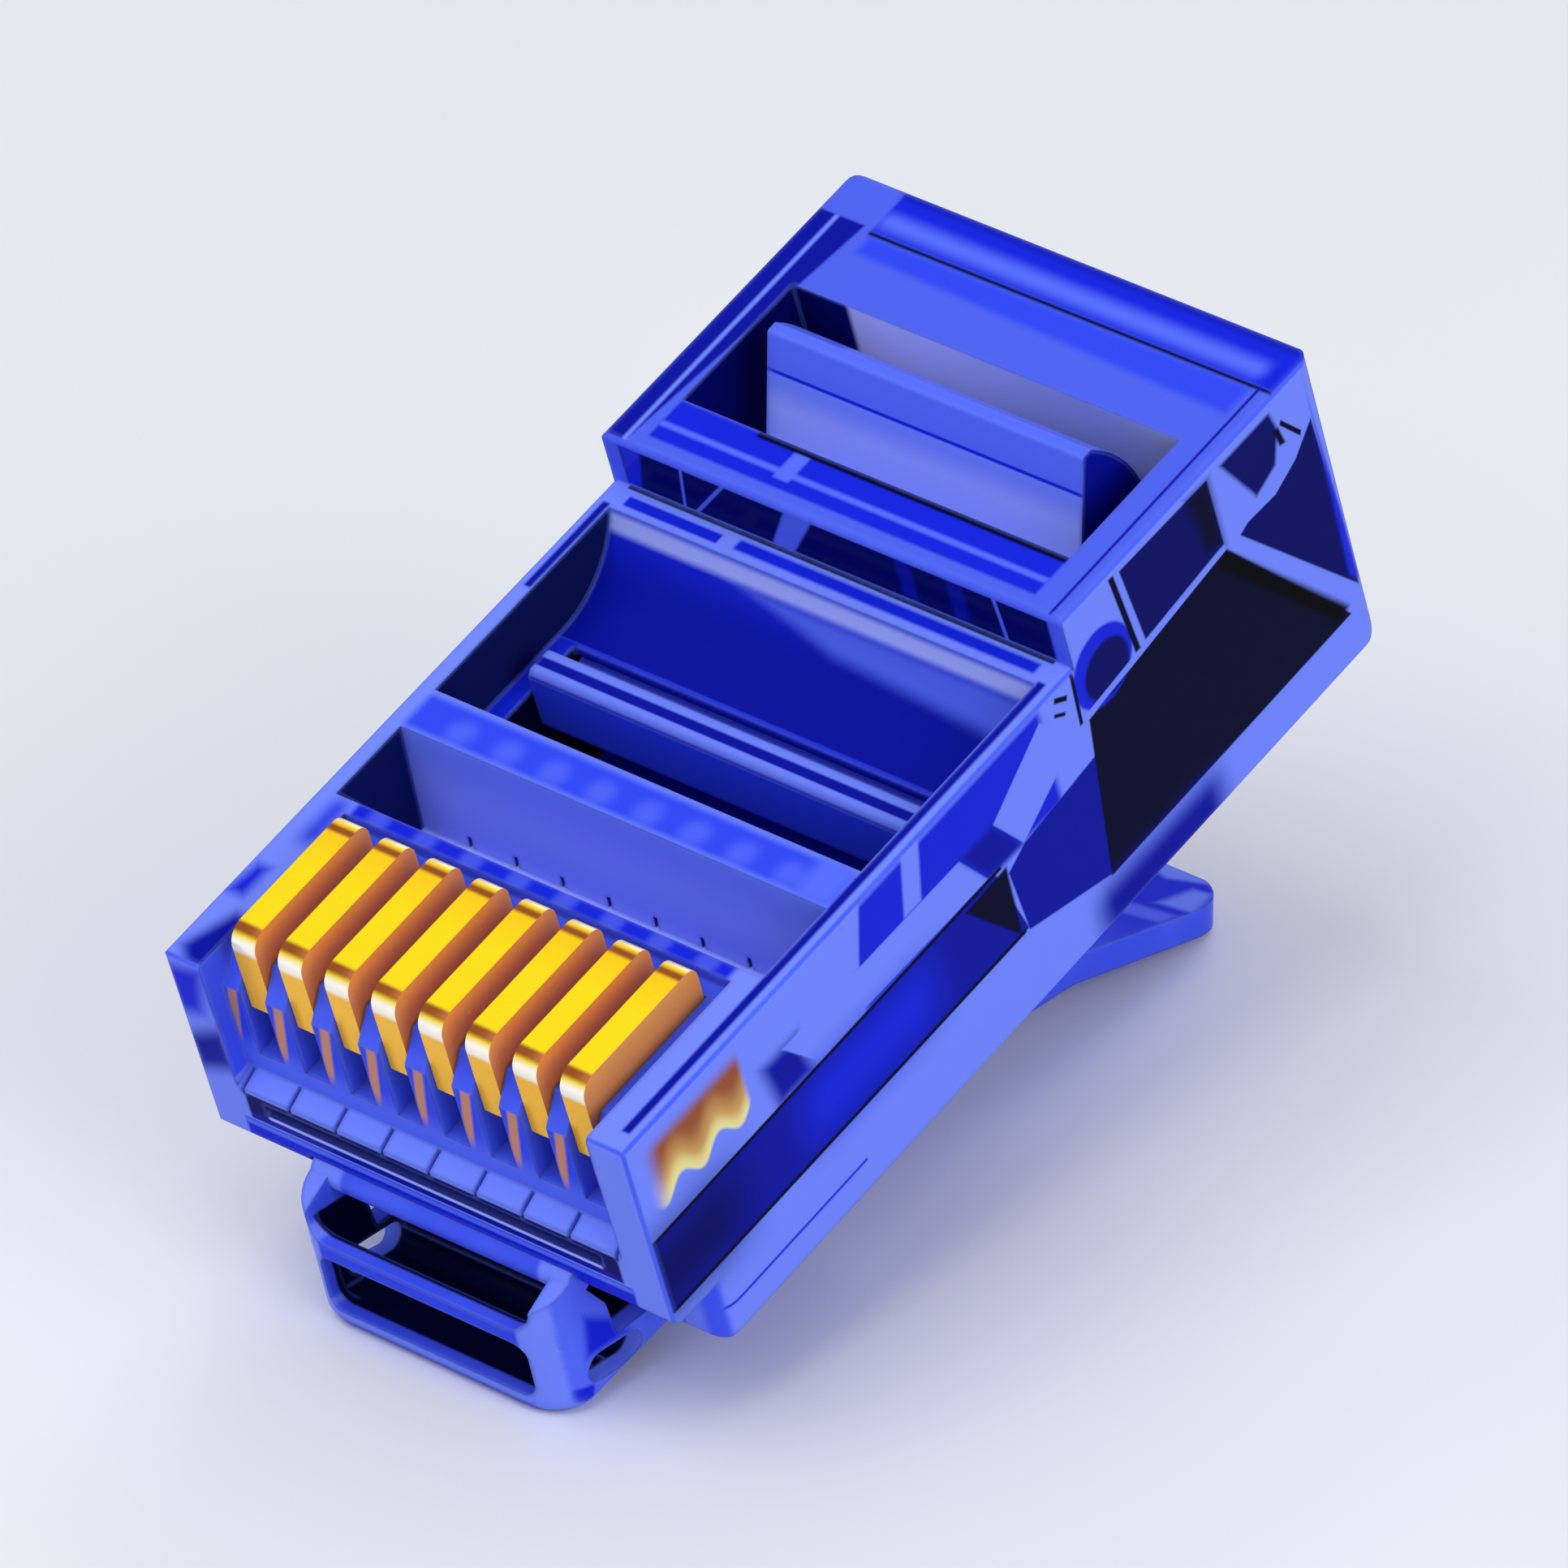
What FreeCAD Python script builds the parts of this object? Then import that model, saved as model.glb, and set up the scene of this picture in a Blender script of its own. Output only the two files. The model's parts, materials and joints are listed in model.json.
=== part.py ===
import FreeCAD, Part

import math
import os

# Eight-contact modular plug, uncrimped, lying on its latch with the contacts up.
# Lengths are in millimetres and angles in degrees.
#
# The plug is drawn in its own frame: x across the plug, y from the nose face towards the cable,
# z up from the flat that the contacts stand out of. The latch is drawn in the lying frame, flat
# on the table, and the two frames share the latch's hinge axis.

# Fits
slide_gap = 0.03
hinge_gap = 0.04
side_gap = 0.10

# Flat left between two rounds that nearly meet, and the gap under which two points are one
end_flat = 0.03
same_point = 1e-6

# Contacts and the row of conductors under them
contact_count = 8
contact_pitch = 1.19
contact_thickness = 0.60
contact_length = 3.60
contact_front = 0.62
contact_top = 0.62
contact_body_height = 2.12
tine_height = 0.90
tine_count = 3
contact_front_radius = 0.42
contact_rear_radius = 0.30
crimp_travel = 1.10

# Housing, across
housing_width = 11.68
cavity_wall = 0.94
window_wall = 0.44
corner_radius = 0.50
edge_radius = 0.15

# Housing, from the nose to the cable end
comb_setback = 0.46
comb_land = 0.35
trough_land = 0.35
trough_length = 2.05
trough_floor_length = 0.26
trough_rear_lean = 0.20
ridge_thickness = 1.10
window_length = 5.70
window_to_step = 0.60
front_lip = 1.50
clamp_window_length = 3.60
rear_roof_length = 3.20
belly_setback = 1.05

# Housing, heights
comb_drop = 0.30
comb_bevel_height = 0.65
comb_bevel_length = 0.49
conductor_depth = 3.55
channel_radius = 0.48
channel_front_wall = 0.54
conductor_space_height = 2.10
conductor_lead_length = 0.55
conductor_lead_flare = 0.25
trough_depth = 2.70
window_depth = 1.60
window_rear_radius = 2.20
roof_rise = 1.27
cable_floor_depth = 5.60
floor_wall = 1.00
nose_floor = 0.92
belly_edge_radius = 0.90
belly_front_radius = 0.40
belly_corner_radius = 0.70

# Cable cavity, as distances from the step or the cable end
ceiling_at_step = 1.40
ceiling_at_flare = 0.85
flare_length = 2.40
mouth_lip = 0.45
mouth_side_lip = 0.55
flare_radius = 2.50
floor_ramp_length = 2.50
floor_ramp_gap = 0.30

# Nose sill with its row of pads
pad_drop = 0.20
pad_height = 1.75
slit_width = 0.09
slit_depth = 0.16
sill_groove_height = 0.40
sill_groove_depth = 0.70
sill_land = 0.25
sill_groove_end = 0.60
bead_radius = 0.20
nose_edge_radius = 0.25

# Latch, in the lying frame
latch_slope = 18.4
latch_root_radius = 0.35
latch_root_grip = 0.31
latch_axis_y = 0.15
latch_axis_drop = 0.05
latch_axis_height = 3.20
latch_root_width = 6.60
latch_cheek_wall = 0.45
latch_front_wall = 0.45
latch_front_height = 2.20
latch_corner_radius = 1.00
latch_edge_radius = 0.50
latch_bulge = 1.19
latch_bulge_drop = 0.55
latch_foot_reach = 0.45
latch_foot_radius = 0.55
latch_cheek_reach = 0.75
latch_cheek_height = 2.30
latch_cheek_radius = 0.15
latch_dip_reach = 1.10
latch_dip_height = 1.42
latch_sole = 0.45
latch_sole_length = 3.90
latch_hollow_length = 2.70
latch_window_height = 1.40
latch_window_post = 0.65
latch_window_radius = 0.35
latch_eye_reach = 1.05
latch_eye_length = 1.60
latch_eye_height = 0.66
latch_eye_base = 0.60
latch_lift = 1.00
latch_thickness = 0.70
latch_shoulder_reach = 9.20
latch_reach = 22.95
latch_tab_width = 3.25
thumb_length = 5.60
thumb_thickness = 0.55
thumb_corner_radius = 1.55
root_rib_depth = 0.35

# Cable clamp in the rear window
cable_clamp_width = 8.00
cable_clamp_proud = 0.68
cable_clamp_ridge = 0.25
cable_clamp_ridge_radius = 0.075
cable_clamp_front_run = 1.00
cable_clamp_rear_gap = 0.37
cable_clamp_depth = 0.90
clamp_bead_radius = 0.30
clamp_bead_inset = 0.10
clamp_bead_depth = 0.55
clamp_web = 0.30

# Conductor clamp in the middle window
conductor_clamp_height = 1.45
conductor_clamp_length = 1.00
conductor_clamp_top = 0.60
conductor_clamp_bevel = 0.13
conductor_slot_front = 1.00
conductor_slot_length = 2.30
conductor_slot_gap = 0.85
conductor_bead_radius = 0.22
conductor_web = 0.24

# Reach of a cutting tool past the skin that it opens
past = 1.0

half_width = housing_width / 2
cavity_half = half_width - cavity_wall
window_half = half_width - window_wall
contact_rear = contact_front + contact_length
slot_rear = contact_rear + slide_gap
comb_rear = slot_rear + comb_land
trough_front = comb_rear + trough_land
trough_rear = trough_front + trough_length
window_front = trough_rear + ridge_thickness
window_rear = window_front + window_length
step_y = window_rear + window_to_step
clamp_window_front = step_y + front_lip
clamp_window_rear = clamp_window_front + clamp_window_length
housing_length = clamp_window_rear + rear_roof_length

conductor_ceiling = -conductor_depth + conductor_space_height / 2
conductor_floor = -conductor_depth - conductor_space_height / 2
cable_floor = -cable_floor_depth
belly_z = cable_floor - floor_wall
nose_bottom = -conductor_depth - channel_radius - nose_floor
channel_start = comb_setback + channel_front_wall
pad_top = nose_bottom + pad_height
flare_start = housing_length - flare_length

latch_axis_z = nose_bottom - latch_axis_drop
cable_axis_y = clamp_window_front - clamp_bead_inset
cable_axis_z = -clamp_bead_depth
conductor_slot_start = window_front + conductor_slot_front
conductor_slot_end = conductor_slot_start + conductor_slot_length
conductor_axis_y = conductor_slot_end + clamp_bead_inset
conductor_axis_z = (conductor_ceiling - window_depth) / 2


def rounded_wire(corners):
    """Closed wire through (a, b, radius) corners in a plane, each corner rounded to its radius."""
    count = len(corners)
    points = [FreeCAD.Vector(a, b, 0) for a, b, radius in corners]
    joints = []
    for i in range(count):
        radius = corners[i][2]
        here = points[i]
        back = (points[i - 1] - here).normalize()
        ahead = (points[(i + 1) % count] - here).normalize()
        if radius == 0:
            joints.append((here, None, here))
            continue
        half_angle = back.getAngle(ahead) / 2
        reach = radius / math.tan(half_angle)
        inward = (back + ahead).normalize()
        middle = here + inward * (radius / math.sin(half_angle) - radius)
        joints.append((here + back * reach, middle, here + ahead * reach))
    edges = []
    for i in range(count):
        start, middle, end = joints[i]
        if middle is not None:
            edges.append(Part.Arc(start, middle, end).toShape())
        next_start = joints[(i + 1) % count][0]
        if end.distanceToPoint(next_start) > same_point:
            edges.append(Part.LineSegment(end, next_start).toShape())
    return Part.Wire(edges)


def prism_x(corners, low, high):
    """Solid whose side view (y, z) is the outline, from x = low to x = high."""
    face = Part.Face(rounded_wire(corners))
    face.rotate(FreeCAD.Vector(), FreeCAD.Vector(1, 1, 1), 120)
    face.translate(FreeCAD.Vector(low, 0, 0))
    return face.extrude(FreeCAD.Vector(high - low, 0, 0))


def prism_y(corners, low, high):
    """Solid whose end view (x, z) is the outline, from y = low to y = high."""
    face = Part.Face(rounded_wire(corners))
    face.rotate(FreeCAD.Vector(), FreeCAD.Vector(1, 0, 0), 90)
    face.translate(FreeCAD.Vector(0, low, 0))
    return face.extrude(FreeCAD.Vector(0, high - low, 0))


def prism_z(corners, low, high):
    """Solid whose plan (x, y) is the outline, from z = low to z = high."""
    face = Part.Face(rounded_wire(corners))
    face.translate(FreeCAD.Vector(0, 0, low))
    return face.extrude(FreeCAD.Vector(0, 0, high - low))


def block(x_low, x_high, y_low, y_high, z_low, z_high):
    """Plain box between two corners."""
    corner = FreeCAD.Vector(x_low, y_low, z_low)
    return Part.makeBox(x_high - x_low, y_high - y_low, z_high - z_low, corner)


def rod_x(radius, half_length, y, z):
    """Round rod along x, centred on the plug's middle plane."""
    start = FreeCAD.Vector(-half_length, y, z)
    return Part.makeCylinder(radius, 2 * half_length, start, FreeCAD.Vector(1, 0, 0))


def contact_centres():
    """Where each contact stands across the plug."""
    middle = (contact_count - 1) / 2
    return [(i - middle) * contact_pitch for i in range(contact_count)]


def end_section(top, low_y, high_y):
    """Stretch of the housing's outside with its long edges rounded."""
    corners = [
        (-half_width, belly_z, edge_radius),
        (half_width, belly_z, edge_radius),
        (half_width, top, edge_radius),
        (-half_width, top, edge_radius),
    ]
    return prism_y(corners, low_y, high_y)


def housing_outside():
    """Outer form: low contact section, taller cable section, nose stepped up under the front."""
    sections = end_section(0, 0, housing_length).fuse(end_section(roof_rise, step_y, housing_length))
    side = prism_x(
        [
            (0, 0, edge_radius),
            (step_y, 0, 0),
            (step_y, roof_rise, edge_radius),
            (housing_length, roof_rise, edge_radius),
            (housing_length, belly_z, belly_edge_radius),
            (belly_setback, belly_z, belly_front_radius),
            (belly_setback, nose_bottom, 0),
            (0, nose_bottom, nose_edge_radius),
        ],
        -half_width,
        half_width,
    )
    plan = prism_z(
        [
            (-half_width, 0, edge_radius),
            (half_width, 0, edge_radius),
            (half_width, housing_length, corner_radius),
            (-half_width, housing_length, corner_radius),
        ],
        belly_z,
        roof_rise,
    )
    return sections.common(side).common(plan).common(belly_plan())


def belly_plan():
    """Space that rounds the belly's two upright front corners and spares the nose over them."""
    nose = block(-half_width, half_width, 0, housing_length, nose_bottom, roof_rise)
    belly = prism_z(
        [
            (-half_width, belly_setback, belly_corner_radius),
            (half_width, belly_setback, belly_corner_radius),
            (half_width, housing_length, 0),
            (-half_width, housing_length, 0),
        ],
        belly_z,
        nose_bottom,
    )
    return nose.fuse(belly)


def cable_cavity():
    """Conductor space, ramps and bell-mouthed cable cavity, open at the cable end."""
    past_end = housing_length + past
    mouth_top = roof_rise - mouth_lip
    flare_slope = (mouth_top + ceiling_at_flare) / flare_length
    ramp_end = step_y - floor_ramp_gap
    return prism_x(
        [
            (window_front, conductor_floor, 0),
            (ramp_end - floor_ramp_length, conductor_floor, 0),
            (ramp_end, cable_floor, 0),
            (past_end, cable_floor, 0),
            (past_end, mouth_top + flare_slope * past, 0),
            (flare_start, -ceiling_at_flare, flare_radius),
            (step_y, -ceiling_at_step, 0),
            (conductor_slot_end + window_to_step, conductor_ceiling, 0),
            (window_front, conductor_ceiling, 0),
        ],
        -cavity_half,
        cavity_half,
    )


def mouth_flare():
    """Side flare that opens the cavity's mouth towards the cable end."""
    mouth_half = half_width - mouth_side_lip
    slope = (mouth_half - cavity_half) / flare_length
    past_half = mouth_half + slope * past
    past_end = housing_length + past
    plan = prism_z(
        [
            (-cavity_half, flare_start, 0),
            (cavity_half, flare_start, 0),
            (past_half, past_end, 0),
            (-past_half, past_end, 0),
        ],
        cable_floor,
        roof_rise,
    )
    side = prism_x(
        [
            (flare_start, cable_floor, 0),
            (past_end, cable_floor, 0),
            (past_end, roof_rise - mouth_lip, 0),
            (housing_length, roof_rise - mouth_lip, 0),
            (flare_start, -ceiling_at_flare, 0),
        ],
        -past_half,
        past_half,
    )
    return plan.common(side)


def conductor_channels():
    """One round channel per conductor, closed behind the nose."""
    along = FreeCAD.Vector(0, 1, 0)
    tools = []
    for x in contact_centres():
        start = FreeCAD.Vector(x, channel_start, -conductor_depth)
        tools.append(Part.makeCylinder(channel_radius, window_front - channel_start, start, along))
    return tools


def conductor_lead():
    """Wedge-shaped mouth that leads the whole row of conductors into the channels."""
    mouth = channel_radius + conductor_lead_flare
    return prism_x(
        [
            (window_front - conductor_lead_length, -conductor_depth, 0),
            (window_front, -conductor_depth - mouth, 0),
            (window_front, -conductor_depth + mouth, 0),
        ],
        -cavity_half,
        cavity_half,
    )


def contact_slots():
    """Slots that the contacts slide in, open to the front and top, down to their channels."""
    half = contact_thickness / 2 + slide_gap
    travel_floor = contact_top - contact_body_height - crimp_travel - side_gap
    tools = []
    for x in contact_centres():
        tools.append(block(x - half, x + half, 0, slot_rear, travel_floor, past))
        tools.append(block(x - half, x + half, channel_start, slot_rear, -conductor_depth, past))
    return tools


def nose_recess():
    """Clears the comb below and behind the end walls and slopes the tops of the pads."""
    bevel_top = comb_setback + comb_bevel_length
    pad_slope = pad_drop / comb_setback
    return prism_x(
        [
            (-past, past, 0),
            (-past, pad_top - pad_drop - pad_slope * past, 0),
            (comb_setback, pad_top, 0),
            (comb_setback, -comb_drop - comb_bevel_height, 0),
            (bevel_top, -comb_drop, 0),
            (comb_rear, -comb_drop, 0),
            (comb_rear, past, 0),
        ],
        -cavity_half,
        cavity_half,
    )


def pad_slits():
    """Thin slits that part the sill into one pad per contact."""
    tools = []
    for i in range(contact_count + 1):
        x = (i - contact_count / 2) * contact_pitch
        low = pad_top - pad_drop - slit_depth
        tools.append(block(x - slit_width / 2, x + slit_width / 2, -past, comb_setback, low, 0))
    return tools


def sill_groove():
    """Groove across the nose face under the pads."""
    top = pad_top - pad_drop - sill_land
    half = half_width - cavity_wall - sill_groove_end
    radius = (sill_groove_height - end_flat) / 2
    return prism_x(
        [
            (-past, top, 0),
            (-past, top - sill_groove_height, 0),
            (sill_groove_depth, top - sill_groove_height, radius),
            (sill_groove_depth, top, radius),
        ],
        -half,
        half,
    )


def sill_bead():
    """Rounded bead along the lower edge of the sill groove."""
    z = pad_top - pad_drop - sill_land - sill_groove_height
    return rod_x(bead_radius, cavity_half - sill_groove_end, bead_radius, z)


def trough():
    """Vee trough across the plug behind the contacts."""
    floor_rear = trough_rear - trough_rear_lean
    return prism_x(
        [
            (trough_front, 0, 0),
            (floor_rear - trough_floor_length, -trough_depth, 0),
            (floor_rear, -trough_depth, 0),
            (trough_rear, 0, 0),
            (trough_rear, past, 0),
            (trough_front, past, 0),
        ],
        -window_half,
        window_half,
    )


def trough_ticks():
    """Short notches at the foot of the trough's rear wall, one over each conductor."""
    foot = trough_rear - trough_rear_lean
    tools = []
    for x in contact_centres():
        half = slit_width / 2
        top = trough_rear_lean + slit_width - trough_depth
        tools.append(block(x - half, x + half, foot - slit_width, foot + slit_width, -trough_depth, top))
    return tools


def middle_window():
    """Pocket over the conductors with a dished rear wall."""
    return prism_x(
        [
            (window_front, past, 0),
            (window_front, -window_depth, edge_radius),
            (window_rear, -window_depth, window_rear_radius),
            (window_rear, past, 0),
        ],
        -window_half,
        window_half,
    )


def conductor_slot():
    """Opening in the pocket's floor that the conductor clamp swings down through."""
    low = conductor_ceiling - slide_gap
    opening = block(-cavity_half, cavity_half, conductor_slot_start, conductor_slot_end, low, -window_depth)
    seat = rod_x(conductor_bead_radius + hinge_gap, cavity_half, conductor_axis_y, conductor_axis_z)
    return opening.fuse(seat)


def rear_window():
    """Opening in the roof for the cable clamp, with the round seat of its web."""
    opening = block(
        -cavity_half,
        cavity_half,
        clamp_window_front,
        clamp_window_rear,
        -ceiling_at_step - past,
        roof_rise + past,
    )
    seat = rod_x(clamp_bead_radius + hinge_gap, cavity_half, cable_axis_y, cable_axis_z)
    return opening.fuse(seat)


def latch_seat():
    """Round seat for the latch's root bead under the nose edge."""
    half = latch_root_width / 2 + side_gap
    return rod_x(latch_root_radius + hinge_gap, half, latch_axis_y, latch_axis_z)


def root_rib():
    """Rib behind the latch's root bead that closes its seat."""
    half = latch_root_width / 2 + side_gap
    front = latch_axis_y + latch_root_radius
    rear = belly_setback + edge_radius
    return block(-half, half, front, rear, nose_bottom - root_rib_depth, nose_bottom)


def make_housing():
    """The clear moulding that everything else sits in."""
    shape = housing_outside()
    tools = [cable_cavity(), mouth_flare(), nose_recess(), sill_groove(), trough()]
    tools += [middle_window(), conductor_lead(), conductor_slot(), rear_window()]
    tools += conductor_channels()
    tools += contact_slots()
    tools += pad_slits()
    tools += trough_ticks()
    shape = shape.cut(tools)
    shape = shape.fuse(sill_bead()).fuse(root_rib()).cut(latch_seat())
    return shape.removeSplitter()


def contact_outline():
    """Side view of one blade: rounded top corners and a row of piercing tines below."""
    bottom = contact_top - contact_body_height
    heel = channel_start + side_gap
    run = contact_rear - heel
    tine_run = run / tine_count
    corners = [(contact_front, bottom, 0)]
    for i in range(tine_count):
        start = heel + i * tine_run
        corners.append((start, bottom, 0))
        corners.append((start + tine_run / 2, bottom - tine_height, 0))
    corners.append((contact_rear, bottom, 0))
    corners.append((contact_rear, contact_top, contact_rear_radius))
    corners.append((contact_front, contact_top, contact_front_radius))
    return corners


def make_contact(x):
    """Stamped blade standing in its slot, not yet crimped."""
    half = contact_thickness / 2
    return prism_x(contact_outline(), x - half, x + half)


def make_cable_clamp():
    """Wedge bar in the rear window, with a web to its round hinge bead."""
    half = cable_clamp_width / 2
    swing = clamp_window_rear - cable_clamp_rear_gap - cable_axis_y
    ridge_z = roof_rise + cable_clamp_proud
    ridge_rear = cable_axis_y + math.sqrt(swing ** 2 - (ridge_z - cable_axis_z) ** 2)
    ridge_front = ridge_rear - cable_clamp_ridge
    toe = ridge_front - cable_clamp_front_run
    far = cable_axis_y + swing + past
    wedge = prism_x(
        [
            (toe, -cable_clamp_depth, 0),
            (far, -cable_clamp_depth, 0),
            (far, ridge_z, 0),
            (ridge_front, ridge_z, cable_clamp_ridge_radius),
        ],
        -half,
        half,
    )
    wedge = wedge.common(rod_x(swing, half, cable_axis_y, cable_axis_z))
    low = cable_axis_z - clamp_web / 2
    web = block(-half, half, cable_axis_y, ridge_front, low, low + clamp_web)
    bead = rod_x(clamp_bead_radius, half, cable_axis_y, cable_axis_z)
    return wedge.fuse(web).fuse(bead).removeSplitter()


def make_conductor_clamp():
    """Bevelled bar over the conductors, with a web to its round hinge bead."""
    half = cavity_half - side_gap
    front = conductor_slot_start + conductor_slot_gap
    rear = front + conductor_clamp_length
    low = conductor_ceiling + side_gap
    top = low + conductor_clamp_height
    bar = prism_x(
        [
            (front, low, 0),
            (rear, low, 0),
            (rear, -window_depth, 0),
            (front + conductor_clamp_bevel + conductor_clamp_top, top, conductor_clamp_bevel),
            (front + conductor_clamp_bevel, top, 0),
            (front, top - conductor_clamp_bevel, 0),
        ],
        -half,
        half,
    )
    web_low = conductor_axis_z - conductor_web / 2
    web_front = rear - conductor_clamp_bevel
    web = block(-half, half, web_front, conductor_axis_y, web_low, web_low + conductor_web)
    bead = rod_x(conductor_bead_radius, half, conductor_axis_y, conductor_axis_z)
    return bar.fuse(web).fuse(bead).removeSplitter()


def latch_side_outline():
    """Side view of the latch in the lying frame, with the hinge axis at y = 0."""
    thumb_start = latch_reach - thumb_length
    thumb_low = latch_reach - thumb_thickness
    end_radius = (thumb_thickness - end_flat) / 2
    lever_top = latch_lift + latch_thickness
    return [
        (-latch_foot_reach, 0, 0),
        (latch_foot_reach, 0, latch_foot_radius),
        (latch_sole_length, latch_lift, latch_foot_radius),
        (thumb_start, latch_lift, thumb_length / 2),
        (thumb_low, 0, thumb_thickness),
        (latch_reach, 0, end_radius),
        (latch_reach, thumb_thickness, end_radius),
        (thumb_start, lever_top, thumb_length / 2),
        (latch_sole_length, lever_top, 0),
        (latch_dip_reach, latch_dip_height, latch_cheek_radius),
        (latch_cheek_reach, latch_cheek_height, latch_cheek_radius),
        (latch_root_radius / 2, latch_axis_height - latch_root_grip, 0),
        (0, latch_axis_height, 0),
        (0, latch_axis_height + latch_root_grip, 0),
        (-latch_bulge, latch_axis_height - latch_bulge_drop, latch_root_radius),
    ]


def latch_front_clip():
    """Space inside the front wall's lean, with the two upright front corners rounded."""
    root = latch_root_width / 2
    corners = [
        (-root, -latch_foot_reach, latch_corner_radius),
        (root, -latch_foot_reach, latch_corner_radius),
        (root, latch_reach + latch_bulge, 0),
        (-root, latch_reach + latch_bulge, 0),
    ]
    face = Part.Face(rounded_wire(corners))
    rise = latch_axis_height - latch_bulge_drop
    lean = (latch_foot_reach - latch_bulge) / rise
    top = latch_axis_height + past
    return face.extrude(FreeCAD.Vector(0, lean * top, top))


def latch_plan():
    """Plan of the latch: wide root, lock shoulders, then the narrow thumb tab."""
    root = latch_root_width / 2
    tab = latch_tab_width / 2
    return [
        (-root, -latch_bulge - past, 0),
        (root, -latch_bulge - past, 0),
        (root, latch_shoulder_reach, 0),
        (tab, latch_shoulder_reach, 0),
        (tab, latch_reach, thumb_corner_radius),
        (-tab, latch_reach, thumb_corner_radius),
        (-tab, latch_shoulder_reach, 0),
        (-root, latch_shoulder_reach, 0),
    ]


def lower_edges(lever):
    """Edges that run round the foot and along the sides of the latch's underside."""
    inner = latch_root_width / 2 - latch_corner_radius - same_point
    edges = []
    for edge in lever.Edges:
        ends = [vertex.Point for vertex in edge.Vertexes]
        low = all(point.z < latch_lift + same_point for point in ends)
        outer = all(abs(point.x) > inner for point in ends)
        crosses = edge.Length > latch_root_width - same_point
        if low and outer and not crosses:
            edges.append(edge)
    return edges


def latch_notch():
    """Opening between the cheeks that leaves the front wall low, with round lower corners."""
    half = latch_root_width / 2 - latch_cheek_wall
    top = latch_axis_height + past
    return prism_y(
        [
            (-half, latch_front_height, latch_foot_radius),
            (half, latch_front_height, latch_foot_radius),
            (half, top, 0),
            (-half, top, 0),
        ],
        -latch_bulge - past,
        0,
    )


def latch_hollow():
    """Space between the cheeks, behind the front wall and over the sole."""
    half = latch_root_width / 2 - latch_cheek_wall
    front_top = latch_axis_height - latch_bulge_drop
    return prism_x(
        [
            (latch_front_wall - latch_bulge, latch_axis_height + past, 0),
            (latch_front_wall - latch_bulge, front_top, 0),
            (latch_front_wall - latch_foot_reach, latch_sole, 0),
            (latch_eye_reach, latch_sole, 0),
            (latch_hollow_length, latch_lift + latch_thickness + slide_gap, 0),
            (latch_hollow_length, latch_axis_height + past, 0),
        ],
        -half,
        half,
    )


def latch_front_window():
    """Wide window low in the latch's front wall."""
    half = latch_root_width / 2 - latch_window_post
    top = latch_sole + latch_window_height
    return prism_y(
        [
            (-half, latch_sole, latch_window_radius),
            (half, latch_sole, latch_window_radius),
            (half, top, latch_window_radius),
            (-half, top, latch_window_radius),
        ],
        -latch_bulge - past,
        0,
    )


def latch_eye():
    """Long round-ended eye through both cheeks."""
    half = latch_root_width / 2 + past
    radius = (latch_eye_height - end_flat) / 2
    front = latch_eye_reach - latch_eye_length / 2
    rear = latch_eye_reach + latch_eye_length / 2
    top = latch_eye_base + latch_eye_height
    corners = [
        (front, latch_eye_base, radius),
        (rear, latch_eye_base, radius),
        (rear, top, radius),
        (front, top, radius),
    ]
    return prism_x(corners, -half, half)


def make_latch():
    """Springy latch lever, in the lying frame with its underside on the table."""
    half = latch_root_width / 2
    side = prism_x(latch_side_outline(), -half, half)
    plan = prism_z(latch_plan(), -past, latch_axis_height + past)
    lever = side.common(plan).common(latch_front_clip()).removeSplitter()
    lever = lever.makeFillet(latch_edge_radius, lower_edges(lever))
    lever = lever.cut([latch_hollow(), latch_notch(), latch_front_window(), latch_eye()])
    root = rod_x(latch_root_radius, half, 0, latch_axis_height)
    return lever.fuse(root).removeSplitter()


def lay_down(shape):
    """Turns a piece from the plug's frame into the lying frame, about the shared hinge axis."""
    laid = shape.copy()
    laid.translate(FreeCAD.Vector(0, -latch_axis_y, -latch_axis_z))
    laid.rotate(FreeCAD.Vector(), FreeCAD.Vector(1, 0, 0), latch_slope)
    laid.translate(FreeCAD.Vector(0, 0, latch_axis_height))
    return laid


def plug_pieces():
    """Every piece by name, in the lying frame with the hinge axis over y = 0."""
    pieces = {
        "housing": lay_down(make_housing()),
        "latch_tab": make_latch(),
        "cable_clamp": lay_down(make_cable_clamp()),
        "conductor_clamp": lay_down(make_conductor_clamp()),
    }
    for i, x in enumerate(contact_centres()):
        pieces[f"contact_{i + 1}"] = lay_down(make_contact(x))
    return pieces


def centre_shift(pieces):
    """Move that puts the origin under the middle of the whole plug."""
    low = min(shape.optimalBoundingBox().YMin for shape in pieces.values())
    high = max(shape.optimalBoundingBox().YMax for shape in pieces.values())
    return FreeCAD.Vector(0, -(low + high) / 2, 0)


pieces = plug_pieces()
shift = centre_shift(pieces)
os.makedirs("parts", exist_ok=True)
for name, shape in pieces.items():
    shape.translate(shift)
    shape.exportStep(f"parts/{name}.step")
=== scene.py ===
import json
import math
from collections import namedtuple

import bpy
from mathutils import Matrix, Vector

# Looks of an eight-contact modular plug of clear blue plastic, lying on its latch.
#
# Materials are laid out in the plug's own millimetres: x across, y from the nose face to the
# cable end, z up from the flat that the contacts stand out of. The latch has its own lying frame,
# with y counted from its hinge axis and z from the table.

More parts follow.
